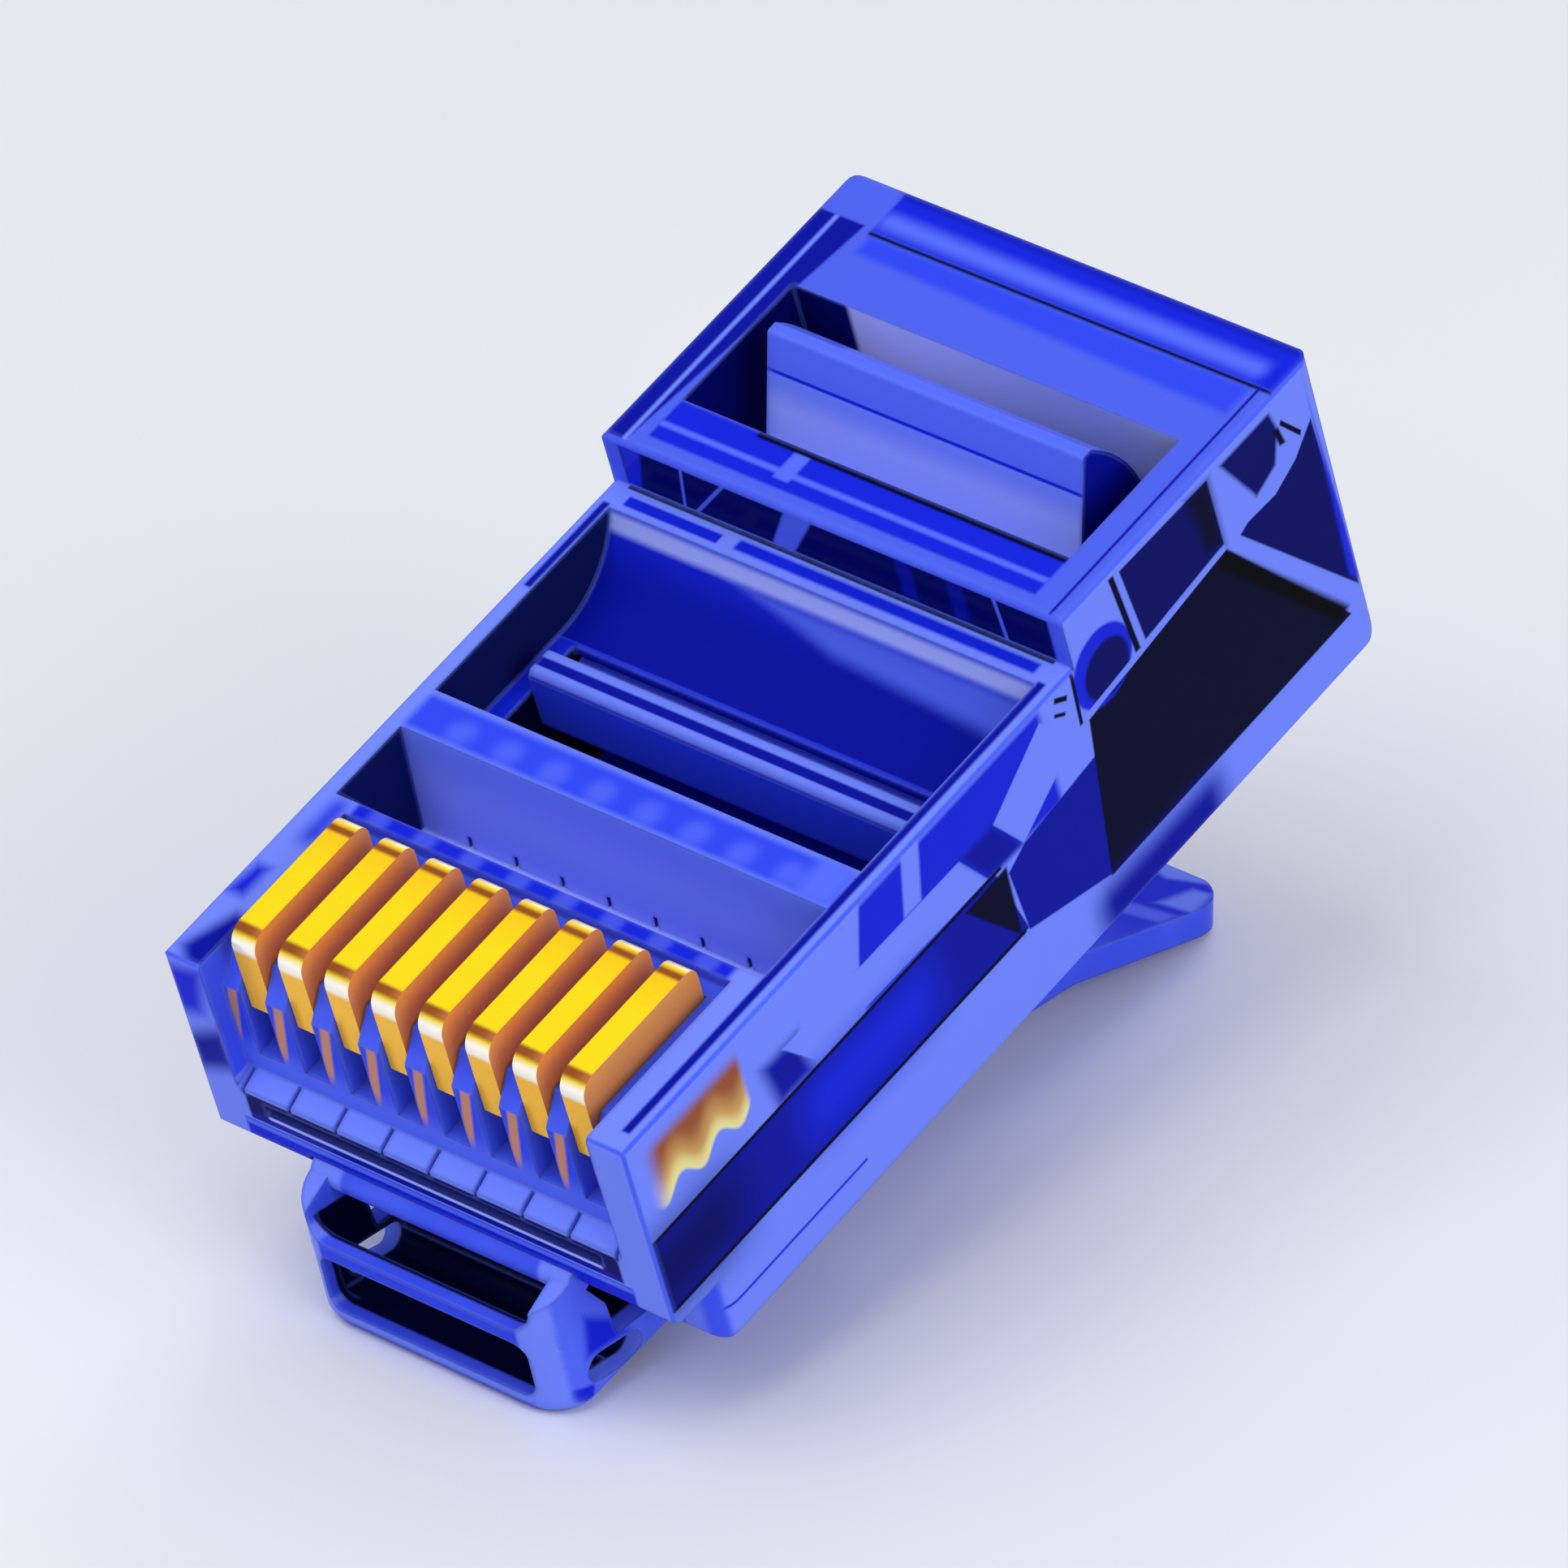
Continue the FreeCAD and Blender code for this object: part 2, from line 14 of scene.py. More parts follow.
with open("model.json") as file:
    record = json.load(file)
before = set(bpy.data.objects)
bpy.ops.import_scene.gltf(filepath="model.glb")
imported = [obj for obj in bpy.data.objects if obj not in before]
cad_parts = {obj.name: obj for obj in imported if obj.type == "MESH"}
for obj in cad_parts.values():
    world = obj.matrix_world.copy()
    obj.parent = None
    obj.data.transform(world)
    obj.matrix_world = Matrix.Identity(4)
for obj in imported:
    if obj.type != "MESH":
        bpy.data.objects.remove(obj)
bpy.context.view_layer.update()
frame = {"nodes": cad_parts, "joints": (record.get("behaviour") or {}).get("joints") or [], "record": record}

joints = {joint["name"]: joint for joint in frame["joints"]}
mounts = {mount["name"]: mount for mount in frame["record"]["mounts"]}
latch_axis = Vector(joints["latch_flex"]["pos_m"])
latch_axis_in_plug = Vector((0, 0.15, -5.0))
cable_way = mounts["cable_entry"]["axis"]
slope = math.atan2(cable_way[2], cable_way[1])

millimetre = 0.001
mm_per_metre = 1000
plug_middle = Vector((0, 0, 8 * millimetre))

# Sizes in millimetres
contact_pitch = 1.19
cavity_half = 4.90

# Spans along the plug, from the nose face
windows_span = (4.0, 14.0)
channel_land_span = (4.5, 5.0)
trough_wall_span = (6.6, 7.1)
window_floor_span = (8.0, 11.5)
floor_line_span = (8.85, 8.95)
dish_span = (11.5, 13.85)
step_span = (14.3, 14.5)
cable_section_span = (14.4, 23.0)
lit_wall_span = (19.4, 19.6)

# Spans up the nose face, from the flat
streak_span = (-2.5, -0.85)
groove_span = (-4.22, -3.50)
bead_line_span = (-4.05, -3.98)
pad_foot_span = (-4.44, -4.30)

# Spans of the latch's box in the latch's own frame: along it, and up its front
latch_box_span = (-1.4, 2.9)
latch_brow_span = (1.75, 2.3)
latch_hollow_span = (0.25, 2.6)

# Spans of a contact: its two bends along the plug, where shade is painted, and the painted glint up its
# front
front_bend_span = (0.78, 1.00)
rear_bend_span = (3.72, 3.90)
glint_span = (0.12, 0.46)


def rgb(red, green, blue):
    """Linear colour from ordinary 0 to 255 values."""
    shares = [value / 255 for value in (red, green, blue)]
    linear = [s / 12.92 if s <= 0.04045 else ((s + 0.055) / 1.055) ** 2.4 for s in shares]
    return (*linear, 1)


# Blues from dark to light paint light and shade onto one clear blue plastic; the warm colours paint gold
# blades seen through it.
ink = rgb(2, 6, 44)
navy = rgb(6, 12, 98)
deep = rgb(13, 22, 158)
royal = rgb(22, 38, 216)
bright = rgb(50, 72, 236)
lavender = rgb(86, 108, 246)
pale = rgb(114, 136, 252)
frost = rgb(158, 172, 255)
grey_frost = rgb(158, 168, 224)
slate = rgb(78, 98, 232)
sienna = rgb(150, 84, 52)
ochre = rgb(206, 160, 96)
straw = rgb(232, 222, 150)
tan = rgb(200, 140, 110)
milk = rgb(206, 210, 255)
black = rgb(0, 0, 6)


Plane = namedtuple("Plane", "u v joined")
Box = namedtuple("Box", "low_u high_u low_v high_v")
Round = namedtuple("Round", "u v radius")


class Net:
    """Short calls for building one material's nodes."""

    def __init__(self, name):
        self.material = bpy.data.materials.new(name)
        self.material.use_nodes = True
        self.tree = self.material.node_tree
        self.shader = self.tree.nodes["Principled BSDF"]

    def node(self, kind, **settings):
        made = self.tree.nodes.new("ShaderNode" + kind)
        for name, value in settings.items():
            setattr(made, name, value)
        return made

    def feed(self, socket, value):
        """Links an output to a socket, or sets the socket to a plain value."""
        if isinstance(value, bpy.types.NodeSocket):
            self.tree.links.new(value, socket)
        else:
            socket.default_value = value

    def math(self, operation, *values):
        made = self.node("Math", operation=operation)
        for socket, value in zip(made.inputs, values):
            self.feed(socket, value)
        return made.outputs[0]

    def vector(self, operation, *values):
        made = self.node("VectorMath", operation=operation)
        for socket, value in zip(made.inputs, values):
            self.feed(socket, value)
        return made.outputs["Value" if operation in ("DOT_PRODUCT", "LENGTH") else "Vector"]

    def turn(self, vector, angle):
        made = self.node("VectorRotate", rotation_type="X_AXIS")
        self.feed(made.inputs["Vector"], vector)
        made.inputs["Angle"].default_value = angle
        return made.outputs["Vector"]

    def split(self, vector):
        made = self.node("SeparateXYZ")
        self.feed(made.inputs[0], vector)
        return made.outputs

    def join(self, x, y, z):
        made = self.node("CombineXYZ")
        for socket, value in zip(made.inputs, (x, y, z)):
            self.feed(socket, value)
        return made.outputs[0]

    def mix(self, share, first, second):
        made = self.node("Mix", data_type="RGBA")
        self.feed(made.inputs["Factor"], share)
        self.feed(made.inputs["A"], first)
        self.feed(made.inputs["B"], second)
        return made.outputs["Result"]

    def ramp(self, value, low, high, out_low=0.0, out_high=1.0):
        """Smooth step of a value from one number to another."""
        made = self.node("MapRange", interpolation_type="SMOOTHSTEP")
        for socket, number in zip(made.inputs, (value, low, high, out_low, out_high)):
            self.feed(socket, number)
        return made.outputs[0]

    def noise(self, place, scale, detail):
        made = self.node("TexNoise")
        self.feed(made.inputs["Vector"], place)
        made.inputs["Scale"].default_value = scale
        made.inputs["Detail"].default_value = detail
        return made.outputs["Fac"]

    def bump(self, height, strength, distance, normal=None):
        made = self.node("Bump")
        made.inputs["Strength"].default_value = strength
        made.inputs["Distance"].default_value = distance
        self.feed(made.inputs["Height"], height)
        if normal is not None:
            self.feed(made.inputs["Normal"], normal)
        return made.outputs["Normal"]


class Skin:
    """Position and facing on a piece, in plug millimetres, and painting by region."""

    def __init__(self, net, lying=False):
        self.net = net
        coordinates = net.node("TexCoord")
        from_axis = net.vector("SUBTRACT", coordinates.outputs["Object"], latch_axis)
        normal = coordinates.outputs["Normal"]
        if lying:
            origin = Vector((0, 0, latch_axis.z * mm_per_metre))
        else:
            from_axis = net.turn(from_axis, -slope)
            normal = net.turn(normal, -slope)
            origin = latch_axis_in_plug
        self.point = net.vector("MULTIPLY_ADD", from_axis, (mm_per_metre,) * 3, origin)
        self.x, self.y, self.z = net.split(self.point)
        self.across = net.math("ABSOLUTE", self.x)
        facing = net.split(net.vector("ABSOLUTE", normal))
        self.side = net.ramp(facing[0], 0.8, 0.95)
        self.end = net.ramp(facing[1], 0.8, 0.95)
        self.level = net.ramp(facing[2], 0.8, 0.95)
        self.on_side = self.plane(self.y, self.z)
        self.on_top = self.plane(self.x, self.y)
        self.on_end = self.plane(self.x, self.z)

    def plane(self, u, v):
        return Plane(u, v, self.net.join(u, v, 1.0))

    def band(self, value, low, high, soft):
        """Share between two numbers, with soft borders."""
        rise = self.net.ramp(value, low - soft / 2, low + soft / 2)
        fall = self.net.ramp(value, high - soft / 2, high + soft / 2, 1.0, 0.0)
        return self.net.math("MULTIPLY", rise, fall)

    def in_box(self, plane, box, soft):
        along_u = self.band(plane.u, box.low_u, box.high_u, soft)
        along_v = self.band(plane.v, box.low_v, box.high_v, soft)
        return self.net.math("MULTIPLY", along_u, along_v)

    def in_round(self, plane, ring, soft):
        away = self.net.vector("SUBTRACT", plane.joined, (ring.u, ring.v, 1.0))
        outside = self.net.vector("LENGTH", away)
        return self.net.ramp(outside, ring.radius + soft / 2, ring.radius - soft / 2)

    def in_polygon(self, plane, corners, soft):
        """Share inside a convex outline, given anticlockwise or clockwise."""
        middle = [sum(c[i] for c in corners) / len(corners) for i in (0, 1)]
        inside = None
        for i, (u, v) in enumerate(corners):
            next_u, next_v = corners[(i + 1) % len(corners)]
            length = math.hypot(next_u - u, next_v - v)
            a, b = (v - next_v) / length, (next_u - u) / length
            if a * (middle[0] - u) + b * (middle[1] - v) < 0:
                a, b = -a, -b
            edge = self.net.vector("DOT_PRODUCT", plane.joined, (a, b, -a * u - b * v))
            inside = edge if inside is None else self.net.math("MINIMUM", inside, edge)
        return self.net.ramp(inside, -soft / 2, soft / 2)

    def paint(self, colour, facing, base, plane, regions):
        """Covers faces that look one way with a base colour and regions laid over it in turn."""
        kinds = {Box: self.in_box, Round: self.in_round, list: self.in_polygon}
        coat = base
        for outline, tone, soft in regions:
            share = kinds[type(outline)](plane, outline, soft)
            coat = self.net.mix(share, coat, tone)
        return self.net.mix(facing, colour, coat)


# Regions are (outline, colour, softness of the border). An outline is an upright rectangle, a
# round or a list of corners.

# Side walls, in (y, z): painted shade and painted light standing for the hollows seen through the clear wall
side_regions = [
    (Box(6.9, 13.2, -2.6, -0.1), royal, 0.25),
    ([(6.35, -1.45), (6.9, 0.0), (7.45, 0.0), (7.0, -1.45)], pale, 0.12),
    ([(8.45, -1.45), (8.8, 0.0), (9.35, 0.0), (9.0, -1.45)], pale, 0.12),
    ([(3.9, -1.4), (5.0, -1.4), (5.2, -2.6), (4.1, -2.6)], deep, 0.5),
    ([(4.55, -1.42), (10.2, -1.5), (10.8, -2.56), (5.3, -2.44)], pale, 0.06),
    ([(10.25, -1.5), (11.3, -1.5), (11.9, -2.6), (10.85, -2.56)], deep, 0.3),
    ([(11.3, -1.5), (13.15, -0.38), (14.15, -1.43), (11.95, -2.62)], pale, 0.06),
    ([(-1.0, -2.62), (11.0, -2.60), (11.5, -4.6), (-1.0, -4.55)], deep, 0.06),
    (Box(4.6, 8.8, -4.4, -2.75), royal, 1.6),
    (Box(-1.0, 2.6, -4.56, -2.62), navy, 2.0),
    ([(-1.0, -2.58), (11.2, -2.56), (11.2, -2.66), (-1.0, -2.68)], ink, 0.05),
    ([(-1.0, -4.49), (11.4, -4.54), (11.4, -4.64), (-1.0, -4.59)], ink, 0.05),
    ([(11.34, -2.7), (11.95, -2.64), (14.5, -1.40), (14.1, -5.45), (11.5, -4.66)], deep, 0.06),
    ([(11.34, -2.72), (10.0, -2.78), (11.28, -4.62)], ink, 0.1),
    ([(14.44, -1.48), (19.1, -0.98), (21.95, -5.42), (13.95, -5.45)], ink, 0.06),
    ([(19.1, -1.03), (21.93, -5.18), (21.6, -5.35), (18.75, -1.2)], black, 0.2),
    ([(19.56, -1.02), (22.17, -0.05), (22.38, -4.98)], navy, 0.06),
    ([(19.5, -0.9), (22.3, 0.1), (22.12, -0.16), (21.5, -0.66), (20.75, -0.96)], pale, 0.05),
    ([(22.24, -0.3), (22.5, -4.96), (22.15, -4.5)], royal, 0.15),
    (Round(15.15, -0.62, 0.92), royal, 0.1),
    (Round(15.25, -0.78, 0.68), navy, 0.12),
    ([(14.1, -1.5), (19.1, -1.0), (19.1, -0.84), (14.1, -1.32)], pale, 0.04),
    ([(14.29, 1.1), (14.39, 1.1), (14.27, -1.41), (14.17, -1.41)], ink, 0.05),
    ([(15.86, 1.1), (16.02, 1.1), (16.24, -1.12), (16.08, -1.12)], ink, 0.06),
    ([(16.2, 1.04), (19.05, 0.98), (19.08, -0.82), (16.42, -1.06)], navy, 0.06),
    ([(18.4, 1.0), (19.09, 0.95), (19.08, -0.78), (18.6, -0.6)], ink, 0.4),
    ([(19.48, 0.98), (21.1, 0.98), (21.23, 0.45), (20.94, -0.31), (20.25, -0.56)], navy, 0.14),
    ([(21.37, 0.56), (21.85, -0.16), (21.79, -0.26), (21.31, 0.46)], ink, 0.04),
    ([(21.1, 0.45), (21.18, 0.0), (21.36, -0.05), (21.26, 0.45)], ink, 0.08),
    ([(13.7, -0.2), (14.05, -0.42), (14.0, -0.54), (13.65, -0.32)], ink, 0.05),
    ([(13.6, -0.55), (13.9, -0.75), (13.86, -0.83), (13.56, -0.63)], ink, 0.05),
    (Box(13.4, 17.4, -7.2, -5.6), deep, 1.0),
    (Box(1.3, 5.85, -5.83, -5.76), royal, 0.06),
]

# Top of the contact section, in (x, y): painted light and shade of the walls and hollows seen through it
flat_regions = [
    (Box(-5.4, 5.4, 7.05, 8.0), bright, 0.3),
    (Box(4.5, 5.4, 7.0, 8.1), lavender, 0.5),
    (Box(5.42, 5.62, 0.5, 13.8), deep, 0.1),
    (Box(-5.62, -5.44, 11.2, 13.8), deep, 0.1),
    ([(-5.6, 0.35), (-5.2, -0.1), (-4.7, -0.1), (-4.7, 1.5), (-5.15, 1.5)], deep, 0.45),
    ([(-5.75, 1.9), (-5.3, 1.9), (-5.3, 2.75), (-5.6, 2.75)], royal, 0.4),
    (Box(-5.3, -4.95, 3.6, 4.9), royal, 0.6),
    (Box(-5.2, -2.8, 13.88, 14.14), royal, 0.08),
    (Box(-2.4, 5.2, 13.92, 14.2), royal, 0.12),
    (Box(-5.4, 5.4, 14.3, 14.6), ink, 0.06),
]

# Roof of the cable section, in (x, y): a painted sheen band at the back, with painted light and shade of the
# walls and hollows seen through it
roof_regions = [
    ([(-4.3, 21.3), (5.3, 21.3), (5.3, 20.5), (-4.3, 20.8)], bright, 0.3),
    (Box(-4.4, 5.84, 21.32, 21.42), ink, 0.1),
    (Box(-4.4, 5.84, 21.42, 22.9), royal, 0.12),
    (Box(-4.4, 5.3, 21.58, 22.02), lavender, 0.45),
    (Box(-4.4, 5.84, 22.5, 22.9), deep, 0.4),
    (Box(5.45, 5.52, 14.4, 21.4), deep, 0.06),
    ([(-5.84, 14.4), (-5.25, 14.4), (-4.6, 21.5), (-5.84, 21.5)], deep, 0.1),
    (Box(-5.35, -5.25, 14.4, 21.5), pale, 0.1),
    (Box(-4.9, 4.9, 14.78, 15.9), royal, 0.12),
    (Box(-4.9, 4.9, 15.12, 15.26), lavender, 0.12),
    (Box(-1.9, -1.5, 15.0, 15.8), lavender, 0.1),
    (Box(-2.9, 4.9, 15.74, 15.9), ink, 0.08),
]

# Step up to the roof, in (x, z): light struts in a wall painted dark, as painted shade of the hollow behind
# it
step_regions = [
    ([(-5.4, 0.0), (-5.4, 1.2), (-4.85, 1.2), (-5.1, 0.0)], royal, 0.1),
    ([(-4.02, 0.0), (-3.85, 1.2), (-3.78, 1.2), (-3.95, 0.0)], lavender, 0.06),
    ([(-3.74, 0.0), (-2.75, 1.2), (-2.65, 1.2), (-3.64, 0.0)], lavender, 0.06),
    ([(-1.75, 0.0), (-1.15, 1.2), (-0.45, 1.2), (-1.2, 0.0)], lavender, 0.1),
    (Box(1.6, 2.0, 0.0, 1.2), deep, 0.2),
    (Box(2.9, 3.3, 0.0, 1.2), deep, 0.2),
    ([(4.15, 0.0), (4.05, 1.2), (4.15, 1.2), (4.25, 0.0)], lavender, 0.06),
]

# Front ends of the nose walls, in (x, z): darker patches of painted shade on a pale base
nose_end_regions = [
    ([(-5.9, -0.35), (-4.85, -0.1), (-5.2, -1.5), (-5.9, -1.7)], royal, 0.6),
    ([(-5.9, -2.35), (-4.8, -1.75), (-4.8, -2.9), (-5.8, -3.3)], deep, 0.6),
]

# Outer faces of the latch's cheeks, in (y, z) of the latch's own frame: darker patches of painted shade
cheek_regions = [
    ([(-0.35, 0.0), (0.5, 0.0), (0.4, 0.62), (-0.55, 0.7)], royal, 0.12),
    ([(0.2, 1.3), (1.5, 1.3), (0.9, 1.9), (0.1, 2.3)], royal, 0.3),
]

# Top of the thumb tab, in (x, y) of the latch's own frame: painted highlights
thumb_regions = [
    ([(-0.2, 22.9), (1.0, 22.75), (0.2, 22.2), (-0.9, 22.5)], pale, 0.3),
    ([(0.9, 21.0), (1.7, 21.2), (1.3, 22.3), (0.9, 22.2)], pale, 0.3),
    ([(-1.6, 19.4), (1.6, 20.2), (1.6, 20.8), (-1.6, 20.0)], lavender, 0.3),
]

# Dished rear wall of the middle window, in (x, z): a painted highlight along its top and a painted sheen
# lower on the right
dish_regions = [
    (Box(-5.4, 5.4, -0.45, -0.08), frost, 0.2),
    ([(-2.0, -0.5), (5.4, -0.5), (5.4, -1.15), (0.5, -0.95)], slate, 0.3),
]


def blue_finish(net, skin, colour):
    """Clear plastic with a painted highlight along its edges and a weak gloss that varies a little."""
    edge_width = 0.14 * millimetre
    edge_light = 0.75
    rounding = net.node("Bevel", samples=2)
    rounding.inputs["Radius"].default_value = edge_width
    plain = net.node("NewGeometry").outputs["True Normal"]
    turned = net.vector("DOT_PRODUCT", rounding.outputs[0], plain)
    on_edge = net.ramp(turned, 0.995, 0.90)
    # Painted highlight: the colour is drawn towards pale along the edges
    colour = net.mix(net.math("MULTIPLY", on_edge, edge_light), colour, pale)
    flow = net.noise(skin.point, 0.55, detail=1.0)
    ripple = net.noise(skin.point, 1.4, detail=0.0)
    shader = net.shader
    net.feed(shader.inputs["Base Color"], colour)
    net.feed(shader.inputs["Roughness"], net.ramp(flow, 0.2, 0.8, 0.10, 0.20))
    net.feed(shader.inputs["Normal"], net.bump(ripple, 0.12, 0.02 * millimetre, rounding.outputs[0]))
    shader.inputs["IOR"].default_value = 1.25
    shader.inputs["Specular IOR Level"].default_value = 0.04
    shader.inputs["Transmission Weight"].default_value = 0.08
    return net.material


def housing_plastic():
    """Clear blue moulding with light and shade painted into its colour, darker where its walls show the
    hollows behind them.
    """
    net = Net("clear_blue_housing")
    skin = Skin(net)
    flow = net.noise(skin.point, 0.35, detail=1.0)
    colour = net.mix(net.ramp(flow, 0.35, 0.65, 0.35, 0.6), bright, lavender)
    outer_side = net.math("MULTIPLY", skin.side, net.ramp(skin.across, 5.6, 5.75))
    colour = skin.paint(colour, outer_side, pale, skin.on_side, side_regions)
    right_side = net.math("MULTIPLY", outer_side, net.ramp(skin.x, 0.0, 1.0))
    # Painted refraction of the end contact's tines on the right wall
    colour = painted_tine_refraction(net, skin, colour, right_side)
    on_flat = net.math("MULTIPLY", skin.level, skin.band(skin.z, -0.1, 0.4, 0.1))
    colour = skin.paint(colour, on_flat, pale, skin.on_top, flat_regions)
    on_roof = net.math("MULTIPLY", skin.level, net.ramp(skin.z, 1.0, 1.2))
    colour = skin.paint(colour, on_roof, slate, skin.on_top, roof_regions)
    colour = channel_marks(net, skin, colour)
    colour = inner_walls(net, skin, colour)
    colour = nose_face(net, skin, colour)
    return blue_finish(net, skin, colour)


def painted_tine_refraction(net, skin, colour, facing):
    """Painted refraction of the end contact's tines seen through the right wall: brown above, straw below,
    wavy foot.
    """
    wave_start, wave_length = 1.28, 1.18
    wave_height, foot_height = 0.20, -1.95
    from_crest = net.math("SUBTRACT", skin.y, wave_start)
    wave = net.math("COSINE", net.math("MULTIPLY", from_crest, math.tau / wave_length))
    foot = net.math("MULTIPLY_ADD", wave, wave_height, foot_height)
    above_foot = net.math("SUBTRACT", skin.z, foot)
    upright = net.math("MULTIPLY", net.ramp(above_foot, -0.02, 0.10), net.ramp(skin.z, -0.25, -0.75))
    along = net.math("MULTIPLY", net.ramp(skin.y, 0.35, 0.95), net.ramp(skin.y, 3.5, 3.3))
    share = net.math("MULTIPLY", upright, along)
    lean = net.math("MULTIPLY_ADD", skin.y, 0.22, above_foot)
    warm = net.mix(net.ramp(above_foot, 1.25, 0.35), sienna, ochre)
    warm = net.mix(net.ramp(above_foot, 0.55, 0.12), warm, straw)
    warm = net.mix(net.ramp(lean, 1.0, 0.5, 0.0, 0.35), warm, straw)
    return net.mix(net.math("MULTIPLY", share, facing), colour, warm)


def channel_marks(net, skin, colour):
    """A darker land and soft light rounds where the conductor channels show through the flats."""
    round_share = 0.3
    cell = net.math("PINGPONG", skin.x, contact_pitch / 2)
    off_middle = net.math("SUBTRACT", contact_pitch / 2, cell)
    level = net.math("MULTIPLY", skin.level, skin.band(skin.z, -0.1, 0.2, 0.1))
    level = net.math("MULTIPLY", level, net.ramp(skin.across, cavity_half, 4.7))
    land = net.math("MULTIPLY", level, skin.band(skin.y, *channel_land_span, 0.05))
    colour = net.mix(land, colour, royal)
    for row, inner, outer in ((4.78, 0.12, 0.38), (7.40, 0.10, 0.52)):
        spot = net.join(off_middle, net.math("SUBTRACT", skin.y, row), 0.0)
        near = net.ramp(net.vector("LENGTH", spot), outer, inner)
        share = net.math("MULTIPLY", net.math("MULTIPLY", near, level), round_share)
        colour = net.mix(share, colour, pale)
    return colour


def inner_walls(net, skin, colour):
    """Walls of the trough and windows, with light and shade painted on: dark side walls as painted shade,
    the trough's end wall painted lighter towards its foot, the dished end wall painted lighter upwards, a
    dark step wall and a lit back wall.
    """
    within = net.ramp(skin.across, 5.5, 5.38)
    inner_side = net.math("MULTIPLY", skin.side, within)
    # Side walls painted dark as shade: ink in the windows, navy in the cable section
    for span, tone in ((windows_span, ink), (cable_section_span, navy)):
        share = net.math("MULTIPLY", inner_side, skin.band(skin.y, *span, 0.1))
        colour = net.mix(share, colour, tone)
    below = net.math("MULTIPLY", within, net.ramp(skin.z, 0.0, -0.05))
    open_wall = net.math("MULTIPLY", below, net.math("SUBTRACT", 1.0, skin.side))
    # Painted light: the trough's end wall is lighter towards its foot, where less light reaches
    trough_wall = net.math("MULTIPLY", open_wall, skin.band(skin.y, *trough_wall_span, 0.1))
    fade = net.mix(net.ramp(skin.z, -1.9, -0.1), frost, pale)
    colour = net.mix(trough_wall, colour, fade)
    # Painted shade: the dished wall is darker lower down, with its painted highlight and sheen
    dish = net.math("MULTIPLY", open_wall, skin.band(skin.y, *dish_span, 0.1))
    fade = net.mix(net.ramp(skin.z, -1.3, -0.2), deep, royal)
    colour = skin.paint(colour, dish, fade, skin.on_end, dish_regions)
    floor = net.math("MULTIPLY", open_wall, skin.band(skin.y, *window_floor_span, 0.1))
    colour = net.mix(floor, colour, royal)
    floor_line = net.math("MULTIPLY", floor, skin.band(skin.y, *floor_line_span, 0.06))
    colour = net.mix(floor_line, colour, ink)
    leaning = net.math("MULTIPLY", skin.end, within)
    # Painted shade: the step wall is navy, with light struts
    step_face = net.math("MULTIPLY", leaning, skin.band(skin.y, *step_span, 0.05))
    step_wall = net.math("MULTIPLY", step_face, skin.band(skin.z, 0.05, 1.12, 0.05))
    colour = skin.paint(colour, step_wall, navy, skin.on_end, step_regions)
    # Painted light: the window's back wall runs from milk white to grey frost, with painted shade at its
    # left end
    lit_wall = net.math("MULTIPLY", leaning, skin.band(skin.y, *lit_wall_span, 0.05))
    fade = net.mix(net.ramp(skin.x, -3.0, 3.5), milk, grey_frost)
    fade = net.mix(net.ramp(skin.x, -3.4, -3.6), fade, navy)
    return net.mix(lit_wall, colour, fade)


def nose_face(net, skin, colour):
    """Front of the comb: the blades painted as warm streaks refracted in the clear fingers, light pads, and
    a groove painted dark as shade with a painted highlight line in it.
    """
    front = net.math("MULTIPLY", skin.end, net.ramp(skin.y, 1.2, 1.0))
    inside = net.math("MULTIPLY", front, net.ramp(skin.across, 4.95, 4.88))
    ends = net.math("SUBTRACT", front, inside)
    colour = skin.paint(colour, ends, pale, skin.on_end, nose_end_regions)
    comb = net.math("MULTIPLY", inside, net.ramp(skin.z, -3.25, -3.1))
    colour = net.mix(comb, colour, net.mix(net.ramp(skin.z, -2.9, -2.0), lavender, bright))
    in_finger = net.math("WRAP", skin.x, contact_pitch / 2, -contact_pitch / 2)
    finger = net.math("SUBTRACT", in_finger, 0.13)
    slant = net.math("MULTIPLY_ADD", net.math("ADD", skin.z, 0.65), -0.19, finger)
    height = skin.band(skin.z, *streak_span, 0.5)
    streak = net.math("MULTIPLY", skin.band(slant, -0.13, 0.11, 0.10), height)
    colour = net.mix(net.math("MULTIPLY", comb, streak), colour, tan)
    sill = net.math("MULTIPLY", net.ramp(skin.y, 0.75, 0.70), net.ramp(skin.z, -3.12, -3.2))
    sill = net.math("MULTIPLY", sill, net.ramp(skin.across, 5.0, 4.9))
    colour = net.mix(sill, colour, pale)
    low_front = net.math("MULTIPLY", net.ramp(skin.y, 0.75, 0.70), net.ramp(skin.across, 4.8, 4.7))
    # Painted shade in the groove, then a painted highlight line along it
    groove = net.math("MULTIPLY", low_front, skin.band(skin.z, *groove_span, 0.05))
    colour = net.mix(groove, colour, net.mix(net.ramp(skin.z, -4.0, -4.1), navy, deep))
    line = net.math("MULTIPLY", low_front, skin.band(skin.z, *bead_line_span, 0.03))
    line = net.math("MULTIPLY", line, net.ramp(skin.across, 4.3, 4.2))
    colour = net.mix(line, colour, frost)
    under = net.math("MULTIPLY", sill, net.ramp(skin.z, -4.24, -4.30))
    colour = net.mix(under, colour, royal)
    foot_line = net.math("MULTIPLY", sill, skin.band(skin.z, *pad_foot_span, 0.08))
    return net.mix(foot_line, colour, lavender)


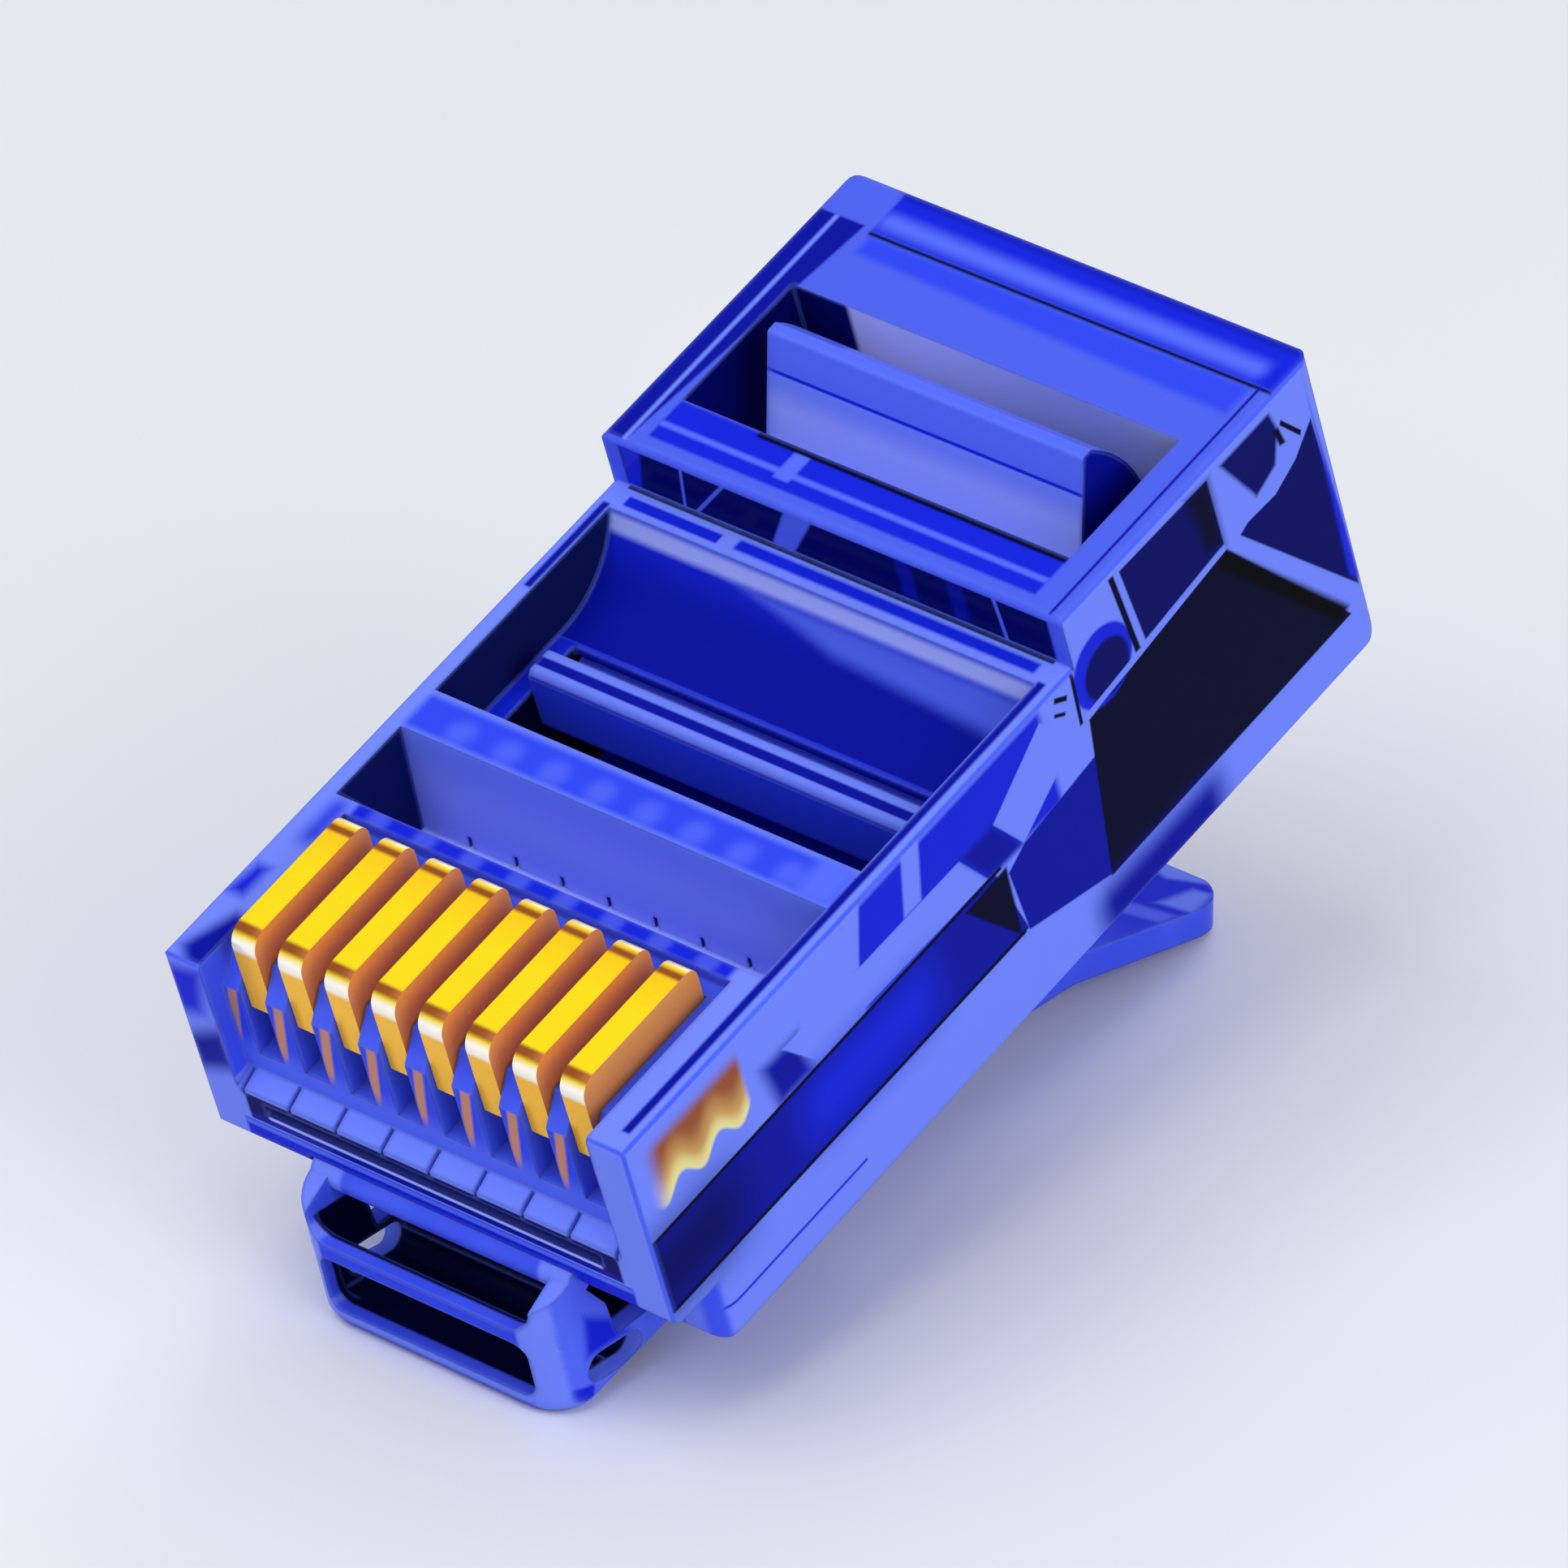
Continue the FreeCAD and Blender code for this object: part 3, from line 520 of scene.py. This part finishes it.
def latch_plastic():
    """The latch's clear blue plastic, in its own lying frame, with light and shade painted by face: lighter
    brow, foot and posts, a hollow painted dark as shade, and painted highlights on the thumb tab.
    """
    net = Net("clear_blue_latch")
    skin = Skin(net, lying=True)
    flow = net.noise(skin.point, 0.5, detail=2.0)
    colour = net.mix(net.ramp(flow, 0.35, 0.65, 0.35, 0.6), bright, lavender)
    box = skin.band(skin.y, *latch_box_span, 0.1)
    front = net.math("MULTIPLY", skin.end, net.ramp(skin.y, -0.2, -0.4))
    brow = net.math("MULTIPLY", front, skin.band(skin.z, *latch_brow_span, 0.1))
    colour = net.mix(brow, colour, bright)
    foot = net.math("MULTIPLY", front, net.ramp(skin.z, 0.6, 0.4))
    colour = net.mix(foot, colour, pale)
    posts = net.math("MULTIPLY", net.ramp(skin.across, 2.45, 2.6), box)
    posts = net.math("MULTIPLY", posts, net.math("SUBTRACT", 1.0, skin.side))
    colour = net.mix(posts, colour, pale)
    outside = net.math("MULTIPLY", net.ramp(skin.across, 3.0, 3.15), box)
    cheek = net.math("MULTIPLY", skin.side, outside)
    colour = skin.paint(colour, cheek, lavender, skin.on_side, cheek_regions)
    front_slant = 0.279
    behind_front = net.math("MULTIPLY_ADD", skin.z, front_slant, skin.y)
    between_cheeks = net.ramp(skin.across, 2.95, 2.85)
    # Painted shade: the hollow between the cheeks is painted near-black
    hollow = net.math("MULTIPLY", between_cheeks, net.ramp(behind_front, -0.15, -0.05))
    hollow = net.math("MULTIPLY", hollow, net.ramp(skin.y, 2.9, 2.7))
    hollow = net.math("MULTIPLY", hollow, skin.band(skin.z, *latch_hollow_span, 0.1))
    colour = net.mix(hollow, colour, ink)
    tip = net.math("MULTIPLY", skin.level, net.ramp(skin.y, 17.0, 21.0))
    colour = net.mix(tip, colour, royal)
    # Painted highlights on the thumb tab's top
    colour = skin.paint(colour, skin.level, colour, skin.on_top, thumb_regions)
    return blue_finish(net, skin, colour)


def bar_plastic():
    """The two crimp bars' clear blue plastic, with light and shade painted by face and height, and painted
    highlight strips.
    """
    net = Net("clear_blue_bars")
    skin = Skin(net)
    low = net.mix(net.math("MULTIPLY", skin.end, net.ramp(skin.y, 10.2, 10.1)), deep, bright)
    # Painted highlight strips across the conductor bar
    front_strip = skin.band(skin.y, 9.98, 10.22, 0.06)
    rear_strip = skin.band(skin.y, 10.46, 10.72, 0.08)
    strips = net.math("ADD", front_strip, rear_strip)
    low = net.mix(net.math("MULTIPLY", strips, net.ramp(skin.z, -1.2, -0.9)), low, pale)
    high = net.mix(net.ramp(skin.z, 0.3, 1.0), frost, pale)
    high = net.mix(net.ramp(skin.z, 1.10, 1.22), high, lavender)
    high = net.mix(skin.band(skin.z, 1.10, 1.18, 0.04), high, royal)
    high = net.mix(net.ramp(skin.x, -3.6, -4.4, 0.0, 0.7), high, slate)
    on_cable_clamp = net.ramp(skin.y, 14.0, 14.4)
    colour = net.mix(on_cable_clamp, low, high)
    colour = net.mix(net.math("MULTIPLY", skin.side, on_cable_clamp), colour, deep)
    return blue_finish(net, skin, colour)


def contact_metal():
    """Gold plate with light and shade painted by face: yellow on top, orange down the front, brown on the
    sides, painted brown shade at the bends and painted glints at the front and the rear end.
    """
    net = Net("gold_plate")
    skin = Skin(net)
    gold, amber, brown = rgb(255, 224, 0), rgb(255, 190, 4), rgb(255, 168, 78)
    umber, glint = rgb(150, 76, 18), rgb(255, 250, 236)
    grain = net.noise(skin.point, 2.0, detail=2.0)
    not_side = net.math("SUBTRACT", 1.0, skin.side)
    colour = net.mix(net.ramp(skin.z, 0.1, 0.55), amber, gold)
    far_end = net.math("MULTIPLY", net.ramp(skin.y, 2.6, 3.8), 0.55)
    colour = net.mix(far_end, colour, amber)
    side_colour = net.mix(net.ramp(skin.z, -0.9, 0.4), rgb(232, 126, 44), brown)
    colour = net.mix(skin.side, colour, side_colour)
    # Painted shade across the two bends, then painted glints on the front and at the rear end
    front_bend = skin.band(skin.y, *front_bend_span, 0.12)
    rear_bend = skin.band(skin.y, *rear_bend_span, 0.12)
    bends = net.math("MULTIPLY", net.math("MAXIMUM", front_bend, rear_bend), not_side)
    colour = net.mix(net.math("MULTIPLY", bends, net.ramp(skin.z, 0.3, 0.45)), colour, umber)
    glint_height = skin.band(skin.z, *glint_span, 0.16)
    front_glint = net.math("MULTIPLY", glint_height, net.ramp(skin.y, 0.85, 0.72))
    colour = net.mix(net.math("MULTIPLY", front_glint, not_side), colour, glint)
    rear_glint = net.math("MULTIPLY", net.ramp(skin.y, 3.93, 4.05), not_side)
    colour = net.mix(rear_glint, colour, rgb(255, 226, 150))
    colour = net.mix(net.ramp(grain, 0.3, 0.7, 0.0, 0.02), colour, umber)
    shader = net.shader
    net.feed(shader.inputs["Base Color"], colour)
    net.feed(shader.inputs["Roughness"], net.ramp(grain, 0.2, 0.8, 0.24, 0.28))
    net.feed(shader.inputs["Normal"], net.bump(grain, 0.0015, 0.01 * millimetre))
    shader.inputs["Metallic"].default_value = 0.25
    shader.inputs["Specular IOR Level"].default_value = 0.3
    return net.material


def soften(piece):
    """Rounds a hard piece's edges with a small bevel."""
    weld = piece.modifiers.new("weld", "WELD")
    weld.merge_threshold = 0.0005 * millimetre
    bevel = piece.modifiers.new("edge", "BEVEL")
    bevel.width = 0.05 * millimetre
    bevel.segments = 3
    bevel.limit_method = "ANGLE"
    bevel.angle_limit = math.radians(35)
    bevel.harden_normals = False


def dress():
    """Gives each piece its material."""
    housing, latch, bars, gold = housing_plastic(), latch_plastic(), bar_plastic(), contact_metal()
    wear = {"housing": housing, "latch_tab": latch, "cable_clamp": bars, "conductor_clamp": bars}
    for name, piece in frame["nodes"].items():
        piece.data.materials.clear()
        piece.data.materials.append(wear.get(name, gold))
        if name.startswith("contact_"):
            soften(piece)


def make_stage():
    """Pale floor and pale surroundings."""
    bpy.ops.mesh.primitive_circle_add(vertices=96, radius=4.0, fill_type="NGON")
    floor = bpy.context.object
    floor.name = "floor"
    net = Net("floor_pale")
    speck = net.noise(net.node("TexCoord").outputs["Object"], 40.0, detail=0.0)
    paint = net.mix(net.ramp(speck, 0.3, 0.7), rgb(222, 223, 228), rgb(226, 227, 232))
    net.feed(net.shader.inputs["Base Color"], paint)
    net.shader.inputs["Roughness"].default_value = 0.6
    floor.data.materials.append(net.material)
    world = bpy.data.worlds.new("studio")
    bpy.context.scene.world = world
    world.use_nodes = True
    background = world.node_tree.nodes["Background"]
    background.inputs["Color"].default_value = rgb(238, 240, 244)
    background.inputs["Strength"].default_value = 0.6


def lamp(name, size, energy, place):
    """Soft square light aimed at the plug."""
    light = bpy.data.lights.new(name, "AREA")
    light.shape = "SQUARE"
    light.size = size
    light.energy = energy
    holder = bpy.data.objects.new(name, light)
    bpy.context.scene.collection.objects.link(holder)
    holder.location = place
    aim = plug_middle - Vector(place)
    holder.rotation_euler = aim.to_track_quat("-Z", "Y").to_euler()


def make_lights():
    """Three soft lights: key in front, fill on the right, rim behind."""
    lamp("key", 0.20, 0.38, (-0.02, -0.14, 0.24))
    lamp("fill", 0.20, 0.34, (0.26, -0.06, 0.14))
    lamp("rim", 0.14, 0.14, (-0.10, 0.22, 0.16))


# Camera: the point that it looks at, how far off it stands and the direction that it looks from
camera_aim = latch_axis + Vector((-0.00044, 0.01071, 0.0048))
camera_distance = 0.32018
camera_azimuth = math.radians(39.566)
camera_elevation = math.radians(30.899)
camera_lens = 372.67
camera_sensor = 36.0


def make_camera():
    """Long lens at the photograph's angle."""
    level = math.cos(camera_elevation)
    outward = Vector((
        math.sin(camera_azimuth) * level,
        -math.cos(camera_azimuth) * level,
        math.sin(camera_elevation),
    ))
    data = bpy.data.cameras.new("camera")
    data.lens = camera_lens
    data.sensor_width = camera_sensor
    data.clip_start, data.clip_end = 0.01, 20
    camera = bpy.data.objects.new("camera", data)
    bpy.context.scene.collection.objects.link(camera)
    camera.location = camera_aim + outward * camera_distance
    camera.rotation_euler = outward.to_track_quat("Z", "Y").to_euler()
    bpy.context.scene.camera = camera


dress()
make_stage()
make_lights()
make_camera()
bpy.context.scene.view_settings.view_transform = "Standard"
